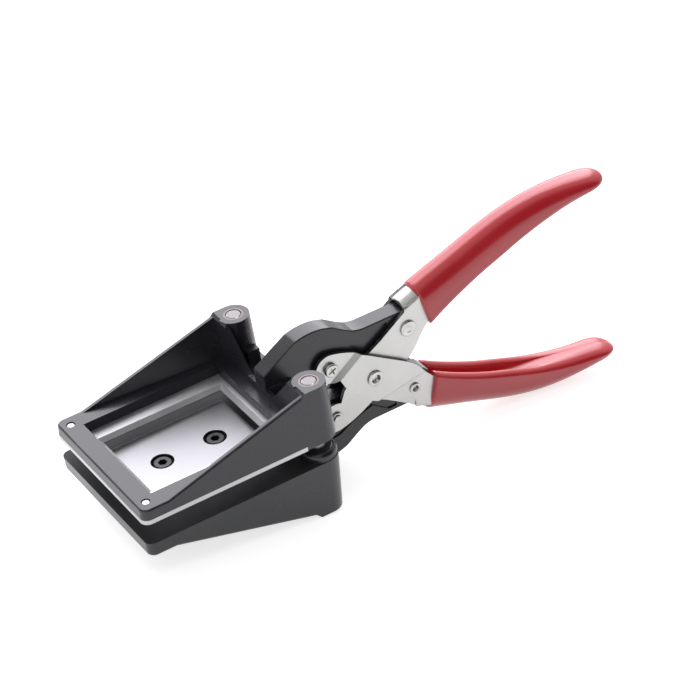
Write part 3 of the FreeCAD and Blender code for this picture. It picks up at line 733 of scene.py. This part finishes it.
for name, side, node in (("upper_sleeve", 1, "upper_grip"), ("lower_sleeve", -1, "lower_grip")):
    made = dress(sleeve(name, side), node)
    print(name, len(made.data.polygons), "faces")

# %% [markdown]
# ## Fasteners by Geometry Nodes
# Rivets and screws are turned parts: a disc that rises, narrows and sinks again. One tree draws the part
# from a few named sizes and sets a copy on each point of a small mesh, turned to the point's own
# direction. Changing a size later changes every copy. The tree ends by making the copies real and giving
# them their finish, and the result is then kept as a plain mesh.

# %% Helpers that build a tree
round_sides = 48


def start_tree(name, sizes):
    """An empty tree with a geometry input, its named sizes and a geometry output."""
    tree = bpy.data.node_groups.new(name, "GeometryNodeTree")
    tree.interface.new_socket("Geometry", in_out="INPUT", socket_type="NodeSocketGeometry")
    name_numbers(tree, sizes)
    tree.interface.new_socket("Geometry", in_out="OUTPUT", socket_type="NodeSocketGeometry")
    return tree, tree.nodes.new("NodeGroupInput"), tree.nodes.new("NodeGroupOutput")


def grow(tree, mesh, picked, rise, shrink):
    """Extrude the picked faces by a rise, then scale what they became."""
    pulled = put(tree, "GeometryNodeExtrudeMesh", {
        "Mesh": mesh, "Selection": picked, "Offset Scale": rise, "Individual": False}, mode="FACES")
    top = pulled.outputs["Top"]
    scaled = put(tree, "GeometryNodeScaleElements", {
        "Geometry": pulled.outputs["Mesh"], "Selection": top, "Scale": shrink}, domain="FACE")
    return scaled.outputs["Geometry"], top


def moved_up(tree, mesh, rise):
    """The mesh, moved along the part's own axis."""
    shift = put(tree, "ShaderNodeCombineXYZ", {"Z": rise}).outputs[0]
    return put(tree, "GeometryNodeTransform", {"Geometry": mesh, "Translation": shift}).outputs[0]


def set_copies(tree, inlet, outlet, part, slot):
    """Put the part on every point, turned to its direction, and make the copies real."""
    facing = put(tree, "GeometryNodeInputNamedAttribute", {"Name": "facing"}, data_type="FLOAT_VECTOR")
    turned = put(tree, "FunctionNodeAlignRotationToVector", {"Vector": facing.outputs[0]}, axis="Z")
    copies = put(tree, "GeometryNodeInstanceOnPoints", {
        "Points": inlet.outputs["Geometry"], "Instance": part, "Rotation": turned.outputs[0]})
    real = put(tree, "GeometryNodeRealizeInstances", {0: copies.outputs[0]})
    done = put(tree, "GeometryNodeSetMaterial", {"Geometry": real.outputs[0], "Material": finishes[slot]})
    tree.links.new(done.outputs[0], outlet.inputs[0])


print("tree helpers ready")

# %% [markdown]
# ## From a tree to a piece
# The points that carry the copies are a mesh of loose vertices with a direction each. The tree works on
# it as a modifier. Its sizes are set by the sockets' identifiers before it first runs, and its result
# replaces the points.

# %% Run a tree
crease_angle = math.radians(32)


def grown_on(name, tree, sizes, spots):
    """Run a tree on spots (drawing point, drawing direction), sizes in metres, and keep a mesh."""
    mesh = bpy.data.meshes.new(name)
    mesh.from_pydata([place(*point) for point, _ in spots], [], [])
    way = mesh.attributes.new("facing", "FLOAT_VECTOR", "POINT")
    way.data.foreach_set("vector", [c for _, d in spots for c in turn_to_scene(*d)])
    piece = add(name, mesh)
    worker = piece.modifiers.new("maker", "NODES")
    worker.node_group = tree
    for socket in tree.interface.items_tree:
        if socket.in_out == "INPUT" and socket.name in sizes:
            worker[socket.identifier] = float(sizes[socket.name])
    settle(piece)
    piece.data.polygons.foreach_set("use_smooth", [True] * len(piece.data.polygons))
    piece.data.set_sharp_from_angle(angle=crease_angle)
    print(name, len(piece.data.polygons), "faces")
    return piece


print("faces that meet at more than %.0f degrees stay sharp" % math.degrees(crease_angle))

# %% [markdown]
# ## Rivets
# The three rivets of the handles are short tubes: each end was spread into a low head, which leaves a
# small dish in its middle. The tree draws one half, a head with a shank, and sets it on both sides, so
# the halves meet inside the plates. Each step of the shoulder and of the dish is a share of their height
# and how much the face shrinks.

# %% The rivet's tree
straight_share = 0.55
shoulder_steps = ((0.20, 0.97), (0.15, 0.93), (0.10, 0.88))
dish_steps = ((-0.35, 0.86), (-0.65, 0.80))


def rivet_tree():
    """Half a rivet: shank, low head with a round shoulder, and a dish in its middle."""
    tree, inlet, outlet = start_tree("spread_rivet", {
        "Head Radius": 0.003, "Head Height": 0.0008, "Dish Share": 0.5, "Dish Depth": 0.0004,
        "Shank Share": 0.7, "Shank Length": 0.006})
    size = inlet.outputs
    base = put(tree, "GeometryNodeMeshCylinder", {
        "Vertices": round_sides, "Radius": size["Head Radius"],
        "Depth": worked(tree, "MULTIPLY", size["Head Height"], straight_share)})
    half_way = worked(tree, "MULTIPLY", size["Head Height"], straight_share / 2)
    mesh = moved_up(tree, base.outputs["Mesh"], half_way)
    top = base.outputs["Top"]
    mesh, foot = grow(tree, mesh, base.outputs["Bottom"], 0.0, size["Shank Share"])
    mesh, _ = grow(tree, mesh, foot, size["Shank Length"], 1.0)
    for share, shrink in shoulder_steps:
        mesh, top = grow(tree, mesh, top, worked(tree, "MULTIPLY", size["Head Height"], share), shrink)
    mesh, top = grow(tree, mesh, top, 0.0, size["Dish Share"])
    for share, shrink in dish_steps:
        mesh, top = grow(tree, mesh, top, worked(tree, "MULTIPLY", size["Dish Depth"], share), shrink)
    set_copies(tree, inlet, outlet, mesh, "bright_fastener")
    return tree


spread_rivet = rivet_tree()
print("tree:", spread_rivet.name)

# %% [markdown]
# ## Set the rivets
# The rivets differ in size, and the one that slides in the upper slot is nearly solid. The plates are
# stepped, so the heads of the main rivet lie further out. Where a head ends comes from the solid that it
# stands for.

# %% Set the rivets
shank_share, shank_gap = 0.70, 0.1
rivets = {
    "main_rivet": dict(y=cross_y, z=0.0, plate=6.95, radius=3.1, dish=0.74, deep=1.30),
    "upper_slot_rivet": dict(y=123.2, z=13.2, plate=plates_half, radius=3.2, dish=0.62, deep=0.22),
    "lower_slot_rivet": dict(y=123.2, z=-13.2, plate=plates_half, radius=2.2, dish=0.76, deep=1.20),
}
for node, r in rivets.items():
    made = grown_on(node + "_spread", spread_rivet, {
        "Head Radius": r["radius"] / 1000, "Head Height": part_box(node)[1].x - r["plate"] / 1000,
        "Dish Share": r["dish"], "Dish Depth": r["deep"] / 1000,
        "Shank Share": shank_share, "Shank Length": (r["plate"] - shank_gap) / 1000},
        [((side * r["plate"], r["y"], r["z"]), (side, 0, 0)) for side in (1, -1)])
    stand_in(made, node)

# %% [markdown]
# ## Socket screws in the punch
# Two black socket screws hold the punch. Their heads lie a little below its ground face, with a small
# chamfer and a hexagon socket. The hexagon is cut with a boolean inside the tree, because a round head
# has no corners that could be pushed in. Its corners lie 0.577 of its width from the middle.

# %% Socket screws
screw_sizes = {"Head Radius": 0.00335, "Head Height": 0.0039, "Chamfer": 0.0004, "Socket Width": 0.0030,
               "Socket Depth": 0.0022, "Shank Share": 0.57, "Shank Length": 0.0080}
screw_spots = [((0, y, -0.05), (0, 0, 1)) for y in (24.0, 45.0)]
chamfer_shrink, corner_share = 0.90, 0.577


def screw_tree():
    """A socket head screw with its head's top at the point, pointing along the direction."""
    tree, inlet, outlet = start_tree("socket_screw", screw_sizes)
    size = inlet.outputs
    base = put(tree, "GeometryNodeMeshCylinder", {
        "Vertices": round_sides, "Radius": size["Head Radius"],
        "Depth": worked(tree, "SUBTRACT", size["Head Height"], size["Chamfer"])})
    reach = worked(tree, "ADD", size["Head Height"], size["Chamfer"])
    mesh = moved_up(tree, base.outputs["Mesh"], worked(tree, "MULTIPLY", reach, -0.5))
    mesh, foot = grow(tree, mesh, base.outputs["Bottom"], 0.0, size["Shank Share"])
    mesh, _ = grow(tree, mesh, foot, size["Shank Length"], 1.0)
    mesh, _ = grow(tree, mesh, base.outputs["Top"], size["Chamfer"], chamfer_shrink)
    hexagon = put(tree, "GeometryNodeMeshCylinder", {
        "Vertices": 6, "Radius": worked(tree, "MULTIPLY", size["Socket Width"], corner_share),
        "Depth": worked(tree, "MULTIPLY", size["Socket Depth"], 2.0)})
    cut = put(tree, "GeometryNodeMeshBoolean", {"Mesh 1": mesh}, operation="DIFFERENCE", solver="EXACT")
    tree.links.new(hexagon.outputs["Mesh"], cut.inputs["Mesh 2"])
    set_copies(tree, inlet, outlet, cut.outputs["Mesh"], "blackened_screw")
    return tree


stand_in(grown_on("punch_socket_screws", screw_tree(), screw_sizes, screw_spots), "punch_screws")

# %% [markdown]
# ## The return spring
# A wire wound on a mandrel follows a rule, so a tree draws it: a spiral of so many turns, and a round
# wire swept along it.

# %% Return spring
spring_length, stroke_length = 22.0, 4.6
spring_seat = (0, 71.5, -11.0)
spring_sizes = {"Coil Radius": 0.0027, "Wire Radius": 0.00055, "Length": spring_length / 1000,
                "Turns": 7.0}


def spring_tree():
    """A wound wire from its seat upwards."""
    tree, inlet, outlet = start_tree("wound_spring", spring_sizes)
    size = inlet.outputs
    wire_width = worked(tree, "MULTIPLY", size["Wire Radius"], 2.0)
    path = put(tree, "GeometryNodeCurveSpiral", {
        "Resolution": 28, "Rotations": size["Turns"], "Start Radius": size["Coil Radius"],
        "End Radius": size["Coil Radius"], "Height": worked(tree, "SUBTRACT", size["Length"], wire_width)})
    wire = put(tree, "GeometryNodeCurvePrimitiveCircle", {"Resolution": 10, "Radius": size["Wire Radius"]})
    swept = put(tree, "GeometryNodeCurveToMesh", {
        "Curve": path.outputs[0], "Profile Curve": wire.outputs[0], "Fill Caps": True})
    set_copies(tree, inlet, outlet, moved_up(tree, swept.outputs[0], size["Wire Radius"]), "spring_steel")
    return tree


spring = grown_on("wound_return_spring", spring_tree(), spring_sizes, [(spring_seat, (0, 0, 1))])
stand_in(spring, "return_spring")
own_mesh(spring)

# %% [markdown]
# ## Fasteners that stay
# The die's countersunk screws, the front rivet with its washers and the cross-recessed pivot screw with
# its nut already have the right shape in the CAD frame. They stay as they are and only get their
# finishes.

# %% Finish what stays
stays = sorted(node for node, solid in nodes.items() if not solid.hide_render)
for node in stays:
    nodes[node].data.materials[0] = finishes[slot_of[node]]
print("kept:", stays)

# %% [markdown]
# ## The floor
# The photograph has a white sweep without a visible edge. One large plane does it. It is lit like
# anything else, so it keeps a soft shadow, and a little glow that only the camera, mirror and glass rays
# see keeps it white.

# %% Floor
floor_reach, floor_drop, floor_glow = 6.0, 0.0002, 0.72
around = ((-1, -1), (1, -1), (1, 1), (-1, 1))
corners = [(x * floor_reach, y * floor_reach, -floor_drop) for x, y in around]
floor_mesh = bpy.data.meshes.new("floor")
floor_mesh.from_pydata(corners, [], [(0, 1, 2, 3)])
floor = add("floor", floor_mesh)
paper = bpy.data.materials.new("sweep_paper")
paper.use_nodes = True
net = paper.node_tree
net.nodes.clear()
rays = put(net, "ShaderNodeLightPath").outputs
seen = worked(net, "MAXIMUM", rays["Is Camera Ray"], rays["Is Glossy Ray"])
seen = worked(net, "MAXIMUM", seen, rays["Is Transmission Ray"])
glow = worked(net, "MULTIPLY", seen, floor_glow)
shader = put(net, "ShaderNodeBsdfPrincipled", {
    "Base Color": (0.70, 0.70, 0.70, 1.0), "Roughness": 0.95, "Specular IOR Level": 0.0,
    "Emission Color": (1.0, 1.0, 1.0, 1.0), "Emission Strength": glow})
put(net, "ShaderNodeOutputMaterial", {"Surface": shader.outputs[0]})
floor_mesh.materials.append(paper)
print("floor %.0f m square" % (2 * floor_reach))

# %% [markdown]
# ## The room's light
# The world is an even light grey, which lights a colour about as it is written. Only one part of it is
# dark: the sleeves' shoulders mirror that part, which draws the deep red band along them, as an unlit
# wall does in a studio. The camera itself never sees the dark part.

# %% World
world = bpy.data.worlds.new("studio")
bpy.context.scene.world = world
world.use_nodes = True
sky = world.node_tree
sky.nodes.clear()
direction = put(sky, "ShaderNodeTexCoord").outputs["Generated"]
unlit = turn_to_scene(0.84, 0.41, 0.36)
nearness = put(sky, "ShaderNodeVectorMath", {0: direction, 1: unlit}, operation="DOT_PRODUCT")
wall = put(sky, "ShaderNodeMapRange", {
    "Value": nearness.outputs["Value"], "From Min": 0.68, "From Max": 0.90, "To Min": 1.0, "To Max": 0.03},
    interpolation_type="SMOOTHSTEP")
camera_ray = put(sky, "ShaderNodeLightPath").outputs["Is Camera Ray"]
level = put(sky, "ShaderNodeMix", {0: camera_ray, 2: wall.outputs[0], 3: 1.0}, data_type="FLOAT")
background = put(sky, "ShaderNodeBackground", {"Strength": level.outputs[0]})
put(sky, "ShaderNodeOutputWorld", {"Surface": background.outputs[0]})
print("world set")

# %% [markdown]
# ## The lamp
# A large soft light stands behind the cutter and to its left. The camera looks towards it, so the flat
# black tops mirror it and turn grey, and the bright fold of the upper handle shines. A small lamp would
# give hard spots instead.

# %% Lamp
def softbox(name, toward, distance, size, watts, colour):
    """A square soft light in a drawing direction from the scene's origin."""
    lamp = add(name, bpy.data.lights.new(name, "AREA"))
    lamp.data.size = size
    lamp.data.energy = watts
    lamp.data.color = colour
    aim = turn_to_scene(*toward)
    turned = aim.to_track_quat("Z", "Y").to_matrix().to_4x4()
    lamp.matrix_world = Matrix.Translation(aim * distance) @ turned


softbox("back_light", toward=(-0.72, 0.30, 0.60), distance=1.5, size=1.6, watts=28.0,
        colour=(0.95, 0.93, 1.0))
print("lamp set")

# %% Finish
bpy.context.view_layer.update()
